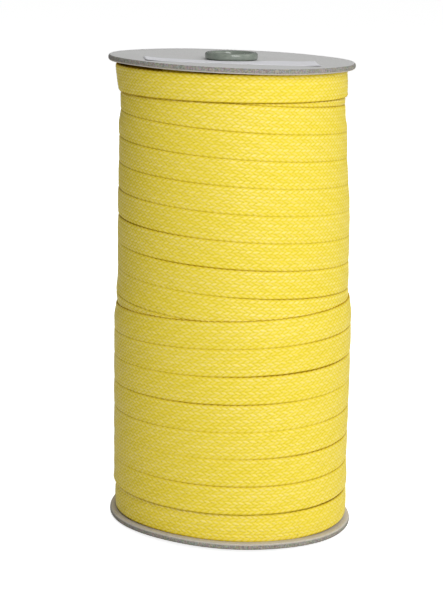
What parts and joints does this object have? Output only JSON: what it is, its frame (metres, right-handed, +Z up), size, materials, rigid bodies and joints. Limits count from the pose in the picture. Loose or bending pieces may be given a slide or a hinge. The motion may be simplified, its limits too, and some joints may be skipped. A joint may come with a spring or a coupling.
{
  "type": "spool of flat braided web",
  "caption": "Flanged spool wound with flat braided web in level helical layers, with a through bore for a spindle and a taped free end.",
  "frame": {"origin": "where the spool's axis meets the plane that the lower rim stands on", "axes": "+Z up along the spool's axis, -Y to the front, where the label lies, and +X to the right"},
  "size_m": [0.112, 0.112, 0.216],
  "materials": {
    "core_plastic": "gloss",
    "sleeve_cardboard": "matte",
    "greyboard": "matte",
    "label_paper": "satin",
    "tape_film": "gloss",
    "braided_web": "matte"
  },
  "bodies": {
    "spool": {"core_tube": "core_plastic", "winding_sleeve": "sleeve_cardboard", "lower_flange": "greyboard", "upper_flange": "greyboard", "flange_label": "label_paper", "start_tape": "tape_film", "web_inner_layers": "braided_web", "web_bottom_turn": "braided_web", "web_full_layer": "braided_web", "web_top_turn": "braided_web", "web_outer_layer": "braided_web"},
    "free_end": {"web_free_end": "braided_web", "free_end_tape": "tape_film"}
  },
  "joints": [
    {"name": "free_end_peel", "type": "hinge", "parent": "spool", "child": "free_end", "pos_m": [-0.00488, 0.05408, 0.10215], "axis": [0, 0, -1], "range_deg": [0, 90]}
  ]
}
